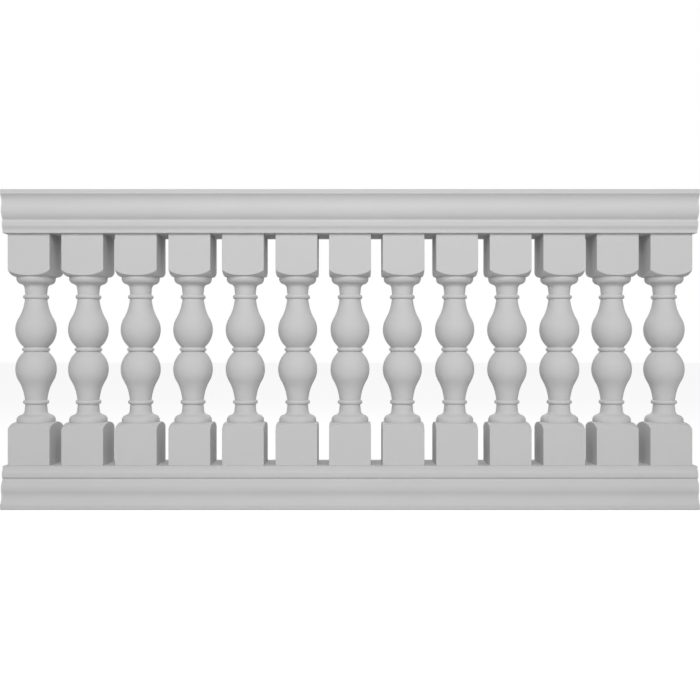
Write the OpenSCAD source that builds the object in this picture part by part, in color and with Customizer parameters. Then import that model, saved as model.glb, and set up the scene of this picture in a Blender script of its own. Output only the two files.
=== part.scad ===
// Classical balustrade section in moulded fiberglass: a row of double-vase
// balusters with square end blocks, standing between a bottom rail and a top
// rail of the same moulding, one of them turned over. Millimetres, X along the
// rails, Y through them with the front at -Y, Z up from the bottom rail's base.

/* [Layout] */
// Number of balusters in the section
baluster_count = 13; // [3:1:13]
// Distance between the axes of neighbouring balusters
baluster_pitch = 164.2; // [135:0.1:220]
// Length of rail left beyond the outer balusters' blocks
rail_end = 11.2; // [2:0.1:120]
// Height of a baluster, between the rails
baluster_h = 711.2; // [640:0.1:860]
// Height of each rail's moulding
rail_h = 131; // [126:0.1:160]

/* [Baluster end blocks] */
// Side of the square end blocks
block_w = 128.4; // [116:0.1:156]
// Radius of the round that takes the block's corners in
shoulder_r = 48; // [36:0.5:60]
// Width of the flat left between the round and the block's side, at mid-side
shoulder_flat = 11.6; // [0:0.1:16]

/* [Baluster turning] */
// How far the torus under each block stays inside the block's sides
torus_in = 6.1; // [3:0.1:9]
// Radius of the torus' own section
torus_curve = 16.7; // [15:0.1:20]
// Drop from the block's underside to the middle of the torus
torus_drop = 5.5; // [3:0.1:9]
// Angle, from upright, at which the neck's cove runs into the torus
cove_turn = 77; // [70:1:84]
// Length of the plain neck
neck_l = 19.8; // [14:0.1:36]
// Radius of the neck at its narrow end
neck_r = 32.2; // [29:0.1:37]
// How much the neck's radius grows towards the cove
neck_flare = 2; // [0:0.1:4]
// Height of the neck bead
bead_h = 13.6; // [10:0.1:18]
// How far the neck bead stands out from the neck
bead_out = 6.7; // [3:0.1:8]
// Radius of the taper where it meets the neck bead
taper_r = 32.8; // [29:0.1:39]
// Length of the straight taper below the neck bead
taper_l = 16.8; // [12:0.1:60]
// Angle of the taper, from upright
taper_turn = 10; // [6:0.5:14]
// Radius of the hollow curve between the bulb and the taper
hollow_curve = 127; // [95:1:145]
// Largest radius of the bulb
bulb_r = 61.2; // [51:0.1:75]
// Radius of the bulb's own curve
bulb_curve = 72; // [60:1:88]
// Height of the ring at mid-height
ring_h = 13; // [10:0.1:18]
// Radius of the ring at its root
ring_r = 35; // [30:0.1:44]
// How far the middle ring stands out
ring_out = 6.6; // [3:0.1:8]

/* [Rail moulding] */
// How far the rail's narrow face reaches past the blocks, front and back
lip_out = 10.8; // [4:0.1:24]
// Height of the upright edge beside the narrow face
edge_h = 5.5; // [3:0.1:10]
// Radius of the small cove after the edge
small_cove_curve = 20; // [15:0.5:30]
// Radius of the round that runs on from the small cove
small_round_curve = 15; // [12:0.5:20]
// Steepest angle, from upright, where the small cove meets its round
small_turn = 33; // [20:1:40]
// Height of the band's flat face
band_h = 6.2; // [4:0.1:12]
// Radius of the round that ends the band
band_round = 8; // [6:0.1:9.6]
// Angle through which the band's round turns
band_turn = 72; // [60:1:90]
// Height of the quirk between the band and the large round
quirk_h = 3; // [0.5:0.1:4]
// How far the large round stands out from the quirk
round_out = 12; // [10:0.1:17]
// Radius of the large round
round_curve = 36; // [30:0.5:44]
// How far the large round stands out past the hollow of the large cove
swell_out = 4; // [3:0.1:6]
// Radius of the large cove
cove_r = 34; // [28:0.5:41]
// How far the face of the fillet stands out from the large cove's hollow
cove_out = 11.2; // [9:0.1:14]
// Radius of the fillet's outer arris
fillet_arris = 4.5; // [1:0.1:6]

/* [Rail shell] */
// Wall of the shell at its lips and quirk
shell_wall = 6; // [4:0.5:8]
// Thickness of the shell's wide face
shell_face = 6; // [4:0.5:9]
// Thickness of the plate that closes the narrow face
plate_t = 8; // [5:0.5:12]
// Thickness of the plug that closes a rail's end
cap_t = 6; // [4:0.5:12]

/* [Hidden] */
$fn = 96;
// Step along a curve, in degrees
arc_step = 6;
// Extra reach of one shape past another that it joins or cuts
reach = 5;
// Angle at which the shoulder's round gives way to a straight cone
shoulder_turn = 60;

// Points of an arc about c, of radius r, from angle a0 to a1
function arc(c, r, a0, a1) =
    let (n = max(2, ceil(abs(a1 - a0) / arc_step)))
    [for (i = [0:n]) let (a = a0 + (a1 - a0) * i / n) c + r * [cos(a), sin(a)]];

// Radius of the curve of a bead that is h high and stands out by w
function bead_curve(h, w) = (h * h / 4 + w * w) / (2 * w);

// Points of a bead that starts at p, is h high and stands out by w
function bead(p, h, w) =
    let (r = bead_curve(h, w), a = asin(h / 2 / r))
    arc(p + [w - r, h / 2], r, -a, a);

function last(points) = points[len(points) - 1];

// Curve of the middle ring, then heights above the baluster's middle from the bulb up
ring_curve = bead_curve(ring_h, ring_out);
bulb_start = acos((ring_r - bulb_r + bulb_curve) / bulb_curve);
bulb_z = ring_h / 2 + bulb_curve * sin(bulb_start);
hollow_drop = bulb_r - taper_r - taper_l * tan(taper_turn);
hollow_turn = acos((bulb_curve + hollow_curve * cos(taper_turn) - hollow_drop)
                   / (bulb_curve + hollow_curve));
hollow_z = bulb_z + (bulb_curve + hollow_curve) * sin(hollow_turn);
taper_z = hollow_z - hollow_curve * sin(taper_turn);
bead_z = taper_z + taper_l;
neck_z = bead_z + bead_h;
cove_z = neck_z + neck_l;
neck_end = neck_r + neck_flare;
torus_r = block_w / 2 - torus_in;
torus_x = torus_r - torus_curve;
cove_curve = (torus_r - neck_end) / (1 - cos(cove_turn)) - torus_curve;
torus_z = cove_z + (torus_curve + cove_curve) * sin(cove_turn);
block_z = torus_z + torus_drop;
half_h = baluster_h / 2;
block_h = half_h - block_z;

// Half of the turned outline, as [radius, height above the middle], carried on into the block
torus_arc = arc([torus_x, torus_z], torus_curve, -cove_turn, asin(torus_drop / torus_curve));
turned_half = concat(
    [[0, 0]],
    arc([ring_r + ring_out - ring_curve, 0], ring_curve, 0, asin(ring_h / 2 / ring_curve)),
    arc([bulb_r - bulb_curve, bulb_z], bulb_curve, -bulb_start, hollow_turn),
    arc([bulb_r - bulb_curve + (bulb_curve + hollow_curve) * cos(hollow_turn), hollow_z],
        hollow_curve, 180 + hollow_turn, 180 + taper_turn),
    [[taper_r, bead_z]],
    bead([neck_r, bead_z], bead_h, bead_out),
    arc([neck_end + cove_curve, cove_z], cove_curve, 180, 180 - cove_turn),
    torus_arc,
    [[last(torus_arc)[0], block_z + reach], [0, block_z + reach]]
);

// Outline of the round that shapes the block's underside
block_corner = block_w / sqrt(2) + reach;
shoulder_x = block_w / 2 - shoulder_flat;
shoulder_arc = arc([shoulder_x, block_z + shoulder_r], shoulder_r, -90, shoulder_turn - 90);
shoulder_rise = (block_corner - last(shoulder_arc)[0]) * tan(shoulder_turn);
shoulder_half = concat(
    [[0, block_z]],
    shoulder_arc,
    [[block_corner, last(shoulder_arc)[1] + shoulder_rise], [block_corner, half_h + reach],
     [0, half_h + reach]]
);

// Levels of the rail moulding, from the narrow face to the wide one
edge_y = block_w / 2 + lip_out;
small_round_z = edge_h + (small_cove_curve + small_round_curve) * sin(small_turn);
band_y = edge_y + (small_cove_curve + small_round_curve) * (1 - cos(small_turn));
band_z = small_round_z + band_h;
quirk_y = band_y - band_round * (1 - cos(band_turn));
quirk_z = band_z + band_round * sin(band_turn);
round_y = quirk_y + round_out;
round_start = acos((round_curve - round_out) / round_curve);
round_z = quirk_z + quirk_h + round_curve * sin(round_start);
swell_turn = acos(1 - swell_out / (round_curve + cove_r));
cove_level = round_z + (round_curve + cove_r) * sin(swell_turn);
hollow_y = round_y - swell_out;
cove_end = acos((cove_r - cove_out) / cove_r);
fillet_y = hollow_y + cove_out;
fillet_z = cove_level + cove_r * sin(cove_end);
arris_z = rail_h - fillet_arris;

// Front half of the rail's outline, as [half depth, height above the narrow face]
rail_half = concat(
    [[edge_y, 0]],
    arc([edge_y + small_cove_curve, edge_h], small_cove_curve, 180, 180 - small_turn),
    arc([band_y - small_round_curve, small_round_z], small_round_curve, -small_turn, 0),
    arc([band_y - band_round, band_z], band_round, 0, band_turn),
    arc([round_y - round_curve, round_z], round_curve, -round_start, swell_turn),
    arc([hollow_y + cove_r, cove_level], cove_r, 180 + swell_turn, 180 - cove_end),
    arc([fillet_y - fillet_arris, arris_z], fillet_arris, 0, 90)
);

// The hollow of the shell, in two widths with a slope between them
mouth_y = quirk_y - shell_wall;
wide_y = hollow_y - shell_wall;
cavity_z = rail_h - shell_face;
cavity_half = [
    [mouth_y, 0], [mouth_y, quirk_z],
    [wide_y, quirk_z + wide_y - mouth_y], [wide_y, cavity_z]
];

rail_l = (baluster_count - 1) * baluster_pitch + block_w + 2 * rail_end;
baluster_base = rail_h;
top_rail_z = rail_h + baluster_h;

gelcoat = [0.81, 0.81, 0.80];

function two_digits(i) = str(i < 10 ? "0" : "", i);
function baluster_name(i) = str("baluster_", two_digits(i));

// The turned half and the block above it
module baluster_half() {
    rotate_extrude() polygon(turned_half);
    intersection() {
        translate([-block_w / 2, -block_w / 2, block_z]) cube([block_w, block_w, block_h]);
        rotate_extrude() polygon(shoulder_half);
    }
}

module baluster(i) {
    x = (i - (baluster_count + 1) / 2) * baluster_pitch;
    color(gelcoat)
    translate([x, 0, baluster_base + half_h]) {
        baluster_half();
        mirror([0, 0, 1]) baluster_half();
    }
}

// Both halves of an outline given as [half depth, height], run along X
module along_rail(half, l) {
    other_half = [for (i = [len(half) - 1:-1:0]) [-half[i][0], half[i][1]]];
    rotate([90, 0, 90]) linear_extrude(l, center = true) polygon(concat(half, other_half));
}

// A rail's shell, narrow face at z = 0 and wide face up
module rail_shell() {
    difference() {
        along_rail(rail_half, rail_l);
        along_rail(cavity_half, rail_l + 2 * reach);
        translate([-rail_l, -mouth_y, -reach]) cube([2 * rail_l, 2 * mouth_y, 2 * reach]);
    }
}

// The plate that closes the narrow face and carries the balusters
module rail_plate() {
    translate([-rail_l / 2, -mouth_y, 0]) cube([rail_l, 2 * mouth_y, plate_t]);
}

// The plug in a rail's end, side = -1 on the left and 1 on the right
module rail_cap(side) {
    translate([side * (rail_l - cap_t) / 2, 0, 0])
    difference() {
        along_rail(cavity_half, cap_t);
        translate([-cap_t, -mouth_y - reach, -reach])
            cube([2 * cap_t, 2 * (mouth_y + reach), plate_t + reach]);
    }
}

module at_top() {
    color(gelcoat) translate([0, 0, top_rail_z]) children();
}

module at_bottom() {
    color(gelcoat) translate([0, 0, rail_h]) mirror([0, 0, 1]) children();
}

for (i = [1:baluster_count])
    baluster(i);
at_top() rail_shell();  // top_rail
at_bottom() rail_shell();  // bottom_rail
at_top() rail_plate();  // top_rail_soffit
at_bottom() rail_plate();  // bottom_rail_deck
at_top() rail_cap(-1);  // top_rail_left_cap
at_top() rail_cap(1);  // top_rail_right_cap
at_bottom() rail_cap(-1);  // bottom_rail_left_cap
at_bottom() rail_cap(1);  // bottom_rail_right_cap
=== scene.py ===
"""Looks for a fiberglass balustrade section: thirteen turned balusters between two moulded rails.

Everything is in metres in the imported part's frame: X along the rails, the front at -Y, Z up.
Each CAD piece is replaced by a finer mesh of the same shape with its arrises rounded.
"""

import math

import bmesh
import bpy
import numpy as np
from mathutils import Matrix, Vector


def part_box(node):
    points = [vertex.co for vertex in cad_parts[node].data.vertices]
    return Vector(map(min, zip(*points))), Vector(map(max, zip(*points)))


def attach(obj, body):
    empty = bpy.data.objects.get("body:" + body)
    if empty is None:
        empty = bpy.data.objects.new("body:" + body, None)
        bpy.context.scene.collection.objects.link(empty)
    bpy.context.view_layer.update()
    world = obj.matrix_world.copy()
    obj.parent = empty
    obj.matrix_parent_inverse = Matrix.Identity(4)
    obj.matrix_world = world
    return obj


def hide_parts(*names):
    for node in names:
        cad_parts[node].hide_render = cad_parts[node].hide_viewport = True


MM = 0.001

# Baluster turning, in millimetres: radii and heights of its mouldings
RING_H, RING_R, RING_OUT = 13.0, 35.0, 6.6
BULB_R, BULB_CURVE = 61.2, 72.0
HOLLOW_CURVE = 127.0
TAPER_R, TAPER_L, TAPER_TURN = 32.8, 16.8, math.radians(10)
BEAD_H, BEAD_OUT = 13.6, 6.7
NECK_R, NECK_FLARE, NECK_L = 32.2, 2.0, 19.8
TORUS_IN, TORUS_CURVE, TORUS_DROP = 6.1, 16.7, 5.5
COVE_TURN = math.radians(77)
SHOULDER_R, SHOULDER_FLAT = 48.0, 11.6

# Rail moulding, in millimetres, from its narrow face to its wide one
LIP_OUT, EDGE_H = 10.8, 5.5
SMALL_COVE, SMALL_ROUND, SMALL_TURN = 20.0, 15.0, math.radians(33)
BAND_H, BAND_ROUND, BAND_TURN = 6.2, 8.0, math.radians(72)
QUIRK_H = 3.0
ROUND_OUT, ROUND_CURVE, SWELL_OUT = 12.0, 36.0, 4.0
COVE_R, COVE_OUT, FILLET_ARRIS = 34.0, 11.2, 4.5
SHELL_WALL, SHELL_FACE = 6.0, 6.0

# How finely curves are drawn, and how far the mould's edges are rounded, in millimetres
ARC_STEP = math.radians(4.5)
SHARP_TURN = math.radians(18)
SHARP_EDGE = math.radians(42)
TURNED_EASE = 0.9
BLOCK_ARRIS = 2.0
BLOCK_EASE = 1.4
RAIL_EASE = 1.3
END_EASE = 0.7
SLAB_EASE = 0.8
TURNS = 80

# The camera: its distance from the blocks' front faces, its height, and its lens on a 36 mm sensor
CAMERA_DISTANCE = 2.589
CAMERA_HEIGHT = 0.485
CAMERA_LENS = 43.456

GELCOAT = (0.63, 0.63, 0.63)

# Where in the noise each slot's material is cut from, so that the two don't repeat
BALUSTER_SEED = 1.7
RAIL_SEED = 4.1

# Light: the dome's strength at the horizon and overhead, the place, size and watts of the lamp
# in front and of the weaker one behind, and how pale the floor is to all but the camera
HORIZON = 0.69
ZENITH = 0.02
LIGHT_TARGET = (0, 0, 0.5)
KEY_PLACE = (0, -3.4, 2.6)
KEY_SIZE = (4.0, 2.0)
KEY_WATTS = 101
FILL_PLACE = (0, 2.2, 3.2)
FILL_SIZE = (4.0, 2.0)
FILL_WATTS = 40
FLOOR_TONE = 0.66

# What the camera sees of the floor: its glow, how strongly light and shadow show on it, and half
# its side
FLOOR_GLOW = 0.87
FLOOR_SHADE = 0.26
FLOOR_HALF = 30


# ---------------------------------------------------------------- outlines


def arc(centre, radius, start, end):
    """Points of an arc, its angles in radians."""
    steps = max(2, math.ceil(abs(end - start) / ARC_STEP))
    angles = [start + (end - start) * i / steps for i in range(steps + 1)]
    return [(centre[0] + radius * math.cos(a), centre[1] + radius * math.sin(a)) for a in angles]


def bead(radius, z, height, out):
    """A bead that starts at (radius, z) and stands out by out at its middle."""
    curve = (height * height / 4 + out * out) / (2 * out)
    half = math.asin(height / 2 / curve)
    return arc((radius + out - curve, z + height / 2), curve, -half, half)


def corner_curve(before, corner, after, steps=4):
    """Points of the small curve that rounds a corner, without its two ends."""
    found = []
    for i in range(1, steps):
        t = i / steps
        found.append(tuple((1 - t) ** 2 * b + 2 * t * (1 - t) * c + t * t * a
                           for b, c, a in zip(before, corner, after)))
    return found


def ease(points, trim):
    """The outline with each sharp corner cut back by trim and rounded."""
    pts = [points[0]]
    for p in points[1:]:
        if math.dist(p, pts[-1]) > 1e-6:
            pts.append(p)
    along = np.concatenate([[0], np.cumsum([math.dist(a, b) for a, b in zip(pts, pts[1:])])])
    xs = [p[0] for p in pts]
    ys = [p[1] for p in pts]

    def at(s):
        return (float(np.interp(s, along, xs)), float(np.interp(s, along, ys)))

    corners = []
    for i in range(1, len(pts) - 1):
        a = math.atan2(pts[i][1] - pts[i - 1][1], pts[i][0] - pts[i - 1][0])
        b = math.atan2(pts[i + 1][1] - pts[i][1], pts[i + 1][0] - pts[i][0])
        if abs((b - a + math.pi) % (2 * math.pi) - math.pi) > SHARP_TURN:
            corners.append(along[i])
    found = []
    for i, p in enumerate(pts):
        if along[i] in corners:
            found.append(at(along[i] - trim))
            found += corner_curve(at(along[i] - trim), p, at(along[i] + trim))
            found.append(at(along[i] + trim))
        elif all(abs(along[i] - c) > 1.25 * trim for c in corners):
            found.append(p)
    return found


def turned_outline():
    """Upper half of the turning as (radius, height above the middle), and the block's underside."""
    bulb_start = math.acos((RING_R - BULB_R + BULB_CURVE) / BULB_CURVE)
    bulb_z = RING_H / 2 + BULB_CURVE * math.sin(bulb_start)
    both = BULB_CURVE + HOLLOW_CURVE
    drop = BULB_R - TAPER_R - TAPER_L * math.tan(TAPER_TURN)
    turn = math.acos((BULB_CURVE + HOLLOW_CURVE * math.cos(TAPER_TURN) - drop) / both)
    hollow_z = bulb_z + both * math.sin(turn)
    bead_z = hollow_z - HOLLOW_CURVE * math.sin(TAPER_TURN) + TAPER_L
    cove_z = bead_z + BEAD_H + NECK_L
    neck_end = NECK_R + NECK_FLARE
    torus_r = BLOCK_HALF - TORUS_IN
    torus_x = torus_r - TORUS_CURVE
    cove = (torus_r - neck_end) / (1 - math.cos(COVE_TURN)) - TORUS_CURVE
    torus_z = cove_z + (TORUS_CURVE + cove) * math.sin(COVE_TURN)
    block_z = torus_z + TORUS_DROP
    outline = [p for p in bead(RING_R, -RING_H / 2, RING_H, RING_OUT) if p[1] >= 0]
    outline[0] = (RING_R + RING_OUT, 0)
    outline += arc((BULB_R - BULB_CURVE, bulb_z), BULB_CURVE, -bulb_start, turn)
    outline += arc((BULB_R - BULB_CURVE + both * math.cos(turn), hollow_z),
                   HOLLOW_CURVE, math.pi + turn, math.pi + TAPER_TURN)
    outline.append((TAPER_R, bead_z))
    outline += bead(NECK_R, bead_z, BEAD_H, BEAD_OUT)
    outline += arc((neck_end + cove, cove_z), cove, math.pi, math.pi - COVE_TURN)
    outline += arc((torus_x, torus_z), TORUS_CURVE, -COVE_TURN, math.asin(TORUS_DROP / TORUS_CURVE))
    return ease(outline, TURNED_EASE), block_z


def rail_outline():
    """Half of the rail's outline as (half depth, height above the narrow face), and its cavity."""
    edge_y = BLOCK_HALF + LIP_OUT
    small = SMALL_COVE + SMALL_ROUND
    small_z = EDGE_H + small * math.sin(SMALL_TURN)
    band_y = edge_y + small * (1 - math.cos(SMALL_TURN))
    band_z = small_z + BAND_H
    quirk_y = band_y - BAND_ROUND * (1 - math.cos(BAND_TURN))
    quirk_z = band_z + BAND_ROUND * math.sin(BAND_TURN)
    round_y = quirk_y + ROUND_OUT
    round_start = math.acos((ROUND_CURVE - ROUND_OUT) / ROUND_CURVE)
    round_z = quirk_z + QUIRK_H + ROUND_CURVE * math.sin(round_start)
    swell = math.acos(1 - SWELL_OUT / (ROUND_CURVE + COVE_R))
    cove_z = round_z + (ROUND_CURVE + COVE_R) * math.sin(swell)
    hollow_y = round_y - SWELL_OUT
    cove_end = math.acos((COVE_R - COVE_OUT) / COVE_R)
    fillet_y = hollow_y + COVE_OUT
    mouth_y = quirk_y - SHELL_WALL
    wide_y = hollow_y - SHELL_WALL
    outline = [(mouth_y, 0), (edge_y, 0)]
    outline += arc((edge_y + SMALL_COVE, EDGE_H), SMALL_COVE, math.pi, math.pi - SMALL_TURN)
    outline += arc((band_y - SMALL_ROUND, small_z), SMALL_ROUND, -SMALL_TURN, 0)
    outline += arc((band_y - BAND_ROUND, band_z), BAND_ROUND, 0, BAND_TURN)
    outline += arc((round_y - ROUND_CURVE, round_z), ROUND_CURVE, -round_start, swell)
    outline += arc((hollow_y + COVE_R, cove_z), COVE_R, math.pi + swell, math.pi - cove_end)
    outline += arc((fillet_y - FILLET_ARRIS, RAIL_H - FILLET_ARRIS), FILLET_ARRIS, 0, math.pi / 2)
    outline += [(0, RAIL_H)]
    cavity = [(mouth_y, 0), (mouth_y, quirk_z), (wide_y, quirk_z + wide_y - mouth_y),
              (wide_y, RAIL_H - SHELL_FACE)]
    return ease(outline, RAIL_EASE), cavity


# ---------------------------------------------------------------- meshes


def mesh_from(name, verts, faces):
    """A smooth mesh whose faces of more than four corners are cut into triangles."""
    mesh = bpy.data.meshes.new(name)
    mesh.from_pydata([tuple(v) for v in verts], [], faces)
    mesh.validate()
    mesh.update()
    build = bmesh.new()
    build.from_mesh(mesh)
    bmesh.ops.triangulate(build, faces=[f for f in build.faces if len(f.verts) > 4])
    bmesh.ops.recalc_face_normals(build, faces=build.faces)
    return smooth_mesh(mesh, build)


def smooth_mesh(mesh, build):
    """Write the bmesh into the mesh, smooth but for the edges that turn sharply."""
    for face in build.faces:
        face.smooth = True
    for edge in build.edges:
        edge.smooth = edge.calc_face_angle(0) < SHARP_EDGE
    build.to_mesh(mesh)
    build.free()
    return mesh


def piece(name, mesh, material, node):
    """An object that stands for one CAD node and rides with the only body."""
    obj = bpy.data.objects.new(name, mesh)
    bpy.context.scene.collection.objects.link(obj)
    if not mesh.materials:
        mesh.materials.append(material)
    weighted = obj.modifiers.new("even_normals", "WEIGHTED_NORMAL")
    weighted.keep_sharp = True
    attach(obj, "root")
    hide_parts(node)
    return obj


def block_radius(angle):
    """Distance from the axis to the block's side, its upright arrises rounded."""
    off = (angle % (math.pi / 2)) - math.pi / 4
    middle = (BLOCK_HALF - BLOCK_ARRIS) * math.sqrt(2)
    flat_from = math.pi / 4 - math.atan2(BLOCK_HALF - BLOCK_ARRIS, BLOCK_HALF)
    if abs(off) >= flat_from:
        return BLOCK_HALF / math.cos(math.pi / 4 - abs(off))
    return middle * math.cos(off) + math.sqrt(BLOCK_ARRIS**2 - (middle * math.sin(off)) ** 2)


def block_meridian(angle, block_z, half_h, inner):
    """The block along one angle: its scooped underside from radius inner, its side and its end."""
    side = block_radius(angle)
    start = BLOCK_HALF - SHOULDER_FLAT
    centre_z = block_z + SHOULDER_R
    first = math.asin((inner - start) / SHOULDER_R)
    edge = math.asin((side - start) / SHOULDER_R)
    trim = min(BLOCK_EASE, 0.3 * SHOULDER_R * (edge - first))
    cut = edge - trim / SHOULDER_R
    steps = 7
    points = []
    for i in range(steps + 1):
        a = first + (cut - first) * i / steps
        points.append((start + SHOULDER_R * math.sin(a), centre_z - SHOULDER_R * math.cos(a)))
    corner = (side, centre_z - SHOULDER_R * math.cos(edge))
    above = (side, corner[1] + trim)
    points += corner_curve(points[-1], corner, above) + [above]
    end_edge = (side, half_h)
    below = (side, half_h - BLOCK_EASE / 2)
    inside = (side - BLOCK_EASE / 2, half_h)
    middle = (side, (above[1] + below[1]) / 2)
    return points + [middle, below] + corner_curve(below, end_edge, inside) + [inside]


def baluster_angles():
    """Even turns, with a few more close to each upright arris of the block."""
    arris = math.pi / 4 - math.atan2(BLOCK_HALF - BLOCK_ARRIS, BLOCK_HALF)
    angles = set()
    for i in range(TURNS):
        angles.add(round(2 * math.pi * i / TURNS, 9))
    for corner in range(4):
        for share in (-1, -0.5, 0.5, 1):
            angles.add(round(math.pi / 4 + corner * math.pi / 2 + share * arris, 9))
    return sorted(angles)


def baluster_mesh(half_h):
    """One baluster about its own middle."""
    turned, block_z = turned_outline()
    angles = baluster_angles()
    rings = []
    for angle in angles:
        upper = turned + block_meridian(angle, block_z, half_h, turned[-1][0])
        lower = [(r, -z) for r, z in reversed(upper[1:])]
        rings.append(lower + upper)
    rows = len(rings[0])
    verts = []
    for angle, ring in zip(angles, rings):
        for r, z in ring:
            verts.append((r * math.cos(angle) * MM, r * math.sin(angle) * MM, z * MM))
    faces = []
    for i in range(len(angles)):
        a, b = i * rows, (i + 1) % len(angles) * rows
        for k in range(rows - 1):
            faces.append((a + k, b + k, b + k + 1, a + k + 1))
    faces.append([i * rows for i in range(len(angles))])
    faces.append([i * rows + rows - 1 for i in range(len(angles))])
    return mesh_from("baluster", verts, faces)


def inset_outline(points, amount):
    """The open outline, its solid side on the right, moved into the solid by amount."""
    pts = np.array(points, float)
    ends = np.concatenate([pts[:1], pts, pts[-1:]])
    along = ends[2:] - ends[:-2]
    along /= np.linalg.norm(along, axis=1)[:, None]
    inward = np.stack([along[:, 1], -along[:, 0]], axis=1)
    return [tuple(p) for p in pts + inward * amount]


def rail_mesh(name, length, z, up):
    """A hollow rail from its narrow face at height z, growing up or down, open at the mouth."""
    half, cavity = rail_outline()
    outer = [(-y, h) for y, h in half[:-1]] + list(reversed(half))
    inner = cavity + [(-y, h) for y, h in reversed(cavity[1:])]
    stations = [(-length / 2 + END_EASE * MM * (1 - math.cos(a)), END_EASE * (1 - math.sin(a)))
                for a in (0, math.pi / 6, math.pi / 3, math.pi / 2)]
    stations += [(length * (i / 12 - 0.5), 0) for i in range(1, 12)]
    stations += [(-x, inset) for x, inset in reversed(stations[:4])]
    verts = []
    for x, inset in stations:
        for y, h in inset_outline(outer, inset) + inner[1:]:
            verts.append((x, y * MM, z + up * h * MM))
    n = len(verts) // len(stations)
    faces = []
    for i in range(len(stations) - 1):
        for k in range(n):
            m = (k + 1) % n
            faces.append((i * n + k, i * n + m, (i + 1) * n + m, (i + 1) * n + k))
    faces.append(list(range(n)))
    faces.append(list(range((len(stations) - 1) * n, len(stations) * n)))
    return mesh_from(name, verts, faces)


def eased_slab(name, outline, x_low, x_high):
    """A slab of the given outline in Y and Z between two stations along X, edges eased."""
    build = bmesh.new()
    ends = []
    for x in (x_low, x_high):
        ends.append([build.verts.new((x, y, z)) for y, z in outline])
    build.faces.new(ends[0])
    build.faces.new(list(reversed(ends[1])))
    for k in range(len(outline)):
        m = (k + 1) % len(outline)
        build.faces.new((ends[0][k], ends[0][m], ends[1][m], ends[1][k]))
    bmesh.ops.recalc_face_normals(build, faces=build.faces)
    bmesh.ops.bevel(build, geom=build.edges[:], offset=SLAB_EASE * MM, segments=2, profile=0.5,
                    affect="EDGES", clamp_overlap=True)
    return smooth_mesh(bpy.data.meshes.new(name), build)


# ---------------------------------------------------------------- materials


def gelcoat(name, colour, seed):
    """Matt moulded gelcoat: faint cloudy tone, uneven gloss and a fine orange peel."""
    mat = bpy.data.materials.new(name)
    mat.use_nodes = True
    nodes, links = mat.node_tree.nodes, mat.node_tree.links
    shader = nodes["Principled BSDF"]
    shader.inputs["IOR"].default_value = 1.45
    shader.inputs["Specular IOR Level"].default_value = 0.2
    where = nodes.new("ShaderNodeTexCoord")
    place = nodes.new("ShaderNodeMapping")
    place.inputs["Location"].default_value = (seed, 2 * seed, 3 * seed)
    links.new(where.outputs["Object"], place.inputs["Vector"])

    def noise(scale, detail, roughness=0.5):
        node = nodes.new("ShaderNodeTexNoise")
        node.inputs["Scale"].default_value = scale
        node.inputs["Detail"].default_value = detail
        node.inputs["Roughness"].default_value = roughness
        links.new(place.outputs["Vector"], node.inputs["Vector"])
        return node.outputs["Fac"]

    def spread(value, low, high):
        node = nodes.new("ShaderNodeMapRange")
        node.inputs["To Min"].default_value = low
        node.inputs["To Max"].default_value = high
        links.new(value, node.inputs["Value"])
        return node.outputs["Result"]

    cloud = nodes.new("ShaderNodeMix")
    cloud.data_type = "RGBA"
    cloud.inputs["A"].default_value = (*[c * 0.975 for c in colour], 1)
    cloud.inputs["B"].default_value = (*[c * 1.025 for c in colour], 1)
    links.new(noise(5, 4), cloud.inputs["Factor"])
    links.new(cloud.outputs["Result"], shader.inputs["Base Color"])
    links.new(spread(noise(60, 3), 0.58, 0.74), shader.inputs["Roughness"])
    peel = nodes.new("ShaderNodeBump")
    peel.inputs["Strength"].default_value = 0.12
    peel.inputs["Distance"].default_value = 0.0004
    links.new(noise(260, 2), peel.inputs["Height"])
    wave = nodes.new("ShaderNodeBump")
    wave.inputs["Strength"].default_value = 0.15
    wave.inputs["Distance"].default_value = 0.001
    links.new(noise(14, 1), wave.inputs["Height"])
    links.new(peel.outputs["Normal"], wave.inputs["Normal"])
    links.new(wave.outputs["Normal"], shader.inputs["Normal"])
    return mat


def shown_white(name, tone):
    """A matt floor that a camera or a mirror sees as white, but for its shadows."""
    mat = bpy.data.materials.new(name)
    mat.use_nodes = True
    nodes, links = mat.node_tree.nodes, mat.node_tree.links
    nodes.remove(nodes["Principled BSDF"])
    matt = nodes.new("ShaderNodeBsdfDiffuse")
    matt.inputs["Color"].default_value = (tone, tone, tone, 1)
    shade = nodes.new("ShaderNodeBsdfDiffuse")
    shade.inputs["Color"].default_value = (FLOOR_SHADE, FLOOR_SHADE, FLOOR_SHADE, 1)
    glow = nodes.new("ShaderNodeEmission")
    glow.inputs["Strength"].default_value = FLOOR_GLOW
    seen = nodes.new("ShaderNodeAddShader")
    links.new(shade.outputs["BSDF"], seen.inputs[0])
    links.new(glow.outputs["Emission"], seen.inputs[1])
    mix = nodes.new("ShaderNodeMixShader")
    links.new(camera_or_gloss(nodes, links), mix.inputs["Fac"])
    links.new(matt.outputs["BSDF"], mix.inputs[1])
    links.new(seen.outputs["Shader"], mix.inputs[2])
    links.new(mix.outputs["Shader"], nodes["Material Output"].inputs["Surface"])
    return mat


def camera_or_gloss(nodes, links):
    """1 for a ray from the camera, off a glossy surface or through glass, else 0."""
    path = nodes.new("ShaderNodeLightPath")
    total = path.outputs["Is Camera Ray"]
    for other in ("Is Glossy Ray", "Is Transmission Ray"):
        add = nodes.new("ShaderNodeMath")
        add.operation = "MAXIMUM"
        links.new(total, add.inputs[0])
        links.new(path.outputs[other], add.inputs[1])
        total = add.outputs["Value"]
    return total


# ---------------------------------------------------------------- stage


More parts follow.
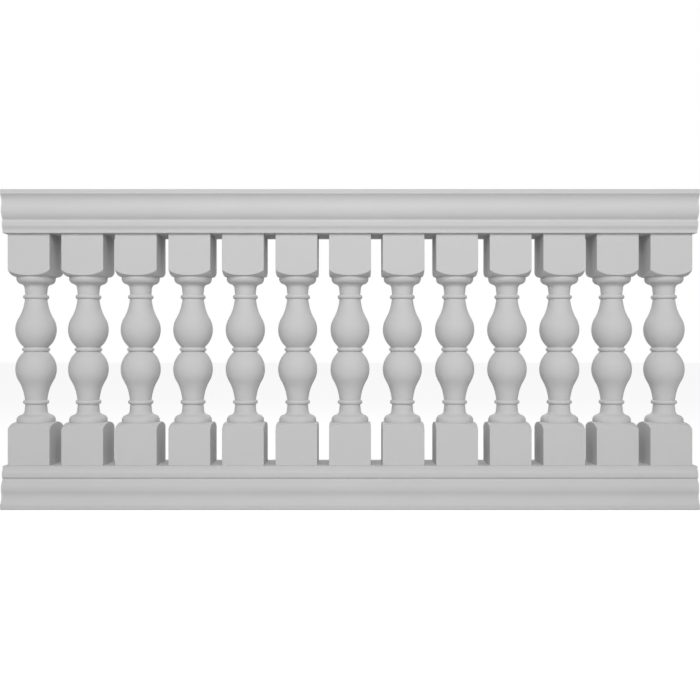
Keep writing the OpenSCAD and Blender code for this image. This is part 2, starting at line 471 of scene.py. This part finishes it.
def make_world():
    """A soft dome of light that the camera sees as white."""
    world = bpy.data.worlds.new("studio")
    bpy.context.scene.world = world
    world.use_nodes = True
    nodes, links = world.node_tree.nodes, world.node_tree.links
    dome = nodes["Background"]
    dome.inputs["Color"].default_value = (1, 1, 1, 1)
    where = nodes.new("ShaderNodeTexCoord")
    split = nodes.new("ShaderNodeSeparateXYZ")
    height = nodes.new("ShaderNodeMapRange")
    height.inputs["To Min"].default_value = HORIZON
    height.inputs["To Max"].default_value = ZENITH
    links.new(where.outputs["Generated"], split.inputs["Vector"])
    links.new(split.outputs["Z"], height.inputs["Value"])
    links.new(height.outputs["Result"], dome.inputs["Strength"])
    white = nodes.new("ShaderNodeBackground")
    white.inputs["Color"].default_value = (1, 1, 1, 1)
    white.inputs["Strength"].default_value = 1
    mix = nodes.new("ShaderNodeMixShader")
    links.new(camera_or_gloss(nodes, links), mix.inputs["Fac"])
    links.new(dome.outputs["Background"], mix.inputs[1])
    links.new(white.outputs["Background"], mix.inputs[2])
    links.new(mix.outputs["Shader"], nodes["World Output"].inputs["Surface"])


def area_light(name, place, size, watts):
    """A rectangular lamp that faces the middle of the object."""
    data = bpy.data.lights.new(name, "AREA")
    data.shape = "RECTANGLE"
    data.size, data.size_y = size
    data.energy = watts
    lamp = bpy.data.objects.new(name, data)
    bpy.context.scene.collection.objects.link(lamp)
    lamp.location = place
    away = lamp.location - Vector(LIGHT_TARGET)
    lamp.rotation_euler = away.to_track_quat("Z", "Y").to_euler()
    return lamp


def make_camera(front_y):
    """A level camera, square on to the blocks' front faces at front_y."""
    data = bpy.data.cameras.new("camera")
    data.lens = CAMERA_LENS
    data.sensor_width = 36
    camera = bpy.data.objects.new("camera", data)
    bpy.context.scene.collection.objects.link(camera)
    camera.location = (0, front_y - CAMERA_DISTANCE, CAMERA_HEIGHT)
    camera.rotation_euler = (math.pi / 2, 0, 0)
    bpy.context.scene.camera = camera


def make_floor():
    """A wide floor under the object, at the height of its base."""
    h = FLOOR_HALF
    mesh = bpy.data.meshes.new("floor")
    mesh.from_pydata([(-h, -h, 0), (h, -h, 0), (h, h, 0), (-h, h, 0)], [], [(0, 1, 2, 3)])
    mesh.materials.append(shown_white("floor", FLOOR_TONE))
    floor = bpy.data.objects.new("floor", mesh)
    bpy.context.scene.collection.objects.link(floor)


# ---------------------------------------------------------------- the object


def add_balusters(coat):
    """Every baluster, all from one mesh."""
    low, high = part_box("baluster_01")
    mesh = baluster_mesh((high.z - low.z) / 2 / MM)
    for node in sorted(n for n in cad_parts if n.startswith("baluster_")):
        low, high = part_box(node)
        turned = piece("turned_" + node, mesh, coat, node)
        turned.location = (low + high) / 2


def add_rail(rail, narrow_z, up, coat):
    """A rail's shell and its two end plugs; it grows from its narrow face at narrow_z."""
    low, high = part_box(rail)
    name = "moulded_" + rail
    piece(name, rail_mesh(name, high.x - low.x, narrow_z, up), coat, rail)
    cavity = rail_outline()[1]
    for side in ("left", "right"):
        node = f"{rail}_{side}_cap"
        low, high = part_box(node)
        start = (RAIL_H - SHELL_FACE) * MM - (high.z - low.z)
        half = [(y * MM, max(h * MM, start)) for y, h in cavity]
        outline = half + [(-y, h) for y, h in reversed(half)]
        outline = [(y, narrow_z + up * h) for y, h in outline]
        name = "eased_" + node
        piece(name, eased_slab(name, outline, low.x, high.x), coat, node)


def add_plate(node, coat):
    """The flat plate that closes a rail's narrow face."""
    low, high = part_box(node)
    outline = [(low.y, low.z), (high.y, low.z), (high.y, high.z), (low.y, high.z)]
    name = "eased_" + node
    piece(name, eased_slab(name, outline, low.x, high.x), coat, node)


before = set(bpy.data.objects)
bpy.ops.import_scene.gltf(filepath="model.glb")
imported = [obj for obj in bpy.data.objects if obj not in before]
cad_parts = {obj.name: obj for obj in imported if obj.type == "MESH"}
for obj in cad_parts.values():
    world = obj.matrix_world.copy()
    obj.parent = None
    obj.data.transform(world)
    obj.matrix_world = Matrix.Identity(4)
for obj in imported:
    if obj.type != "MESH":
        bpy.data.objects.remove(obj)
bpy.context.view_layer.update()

# Half the blocks' width and the rails' height, in millimetres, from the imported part
block_low, block_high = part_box("baluster_01")
BLOCK_HALF = (block_high.y - block_low.y) / 2 / MM
top_low, top_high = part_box("top_rail")
RAIL_H = (top_high.z - top_low.z) / MM

baluster_coat = gelcoat("baluster_gelcoat", GELCOAT, BALUSTER_SEED)
rail_coat = gelcoat("rail_gelcoat", GELCOAT, RAIL_SEED)

add_balusters(baluster_coat)
add_rail("top_rail", top_low.z, 1, rail_coat)
add_rail("bottom_rail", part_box("bottom_rail")[1].z, -1, rail_coat)
add_plate("top_rail_soffit", rail_coat)
add_plate("bottom_rail_deck", rail_coat)

# ---------------------------------------------------------------- floor, lights, camera

make_floor()
make_world()
area_light("key", KEY_PLACE, KEY_SIZE, KEY_WATTS)
area_light("back_fill", FILL_PLACE, FILL_SIZE, FILL_WATTS)
make_camera(block_low.y)
bpy.context.scene.view_settings.view_transform = "Standard"
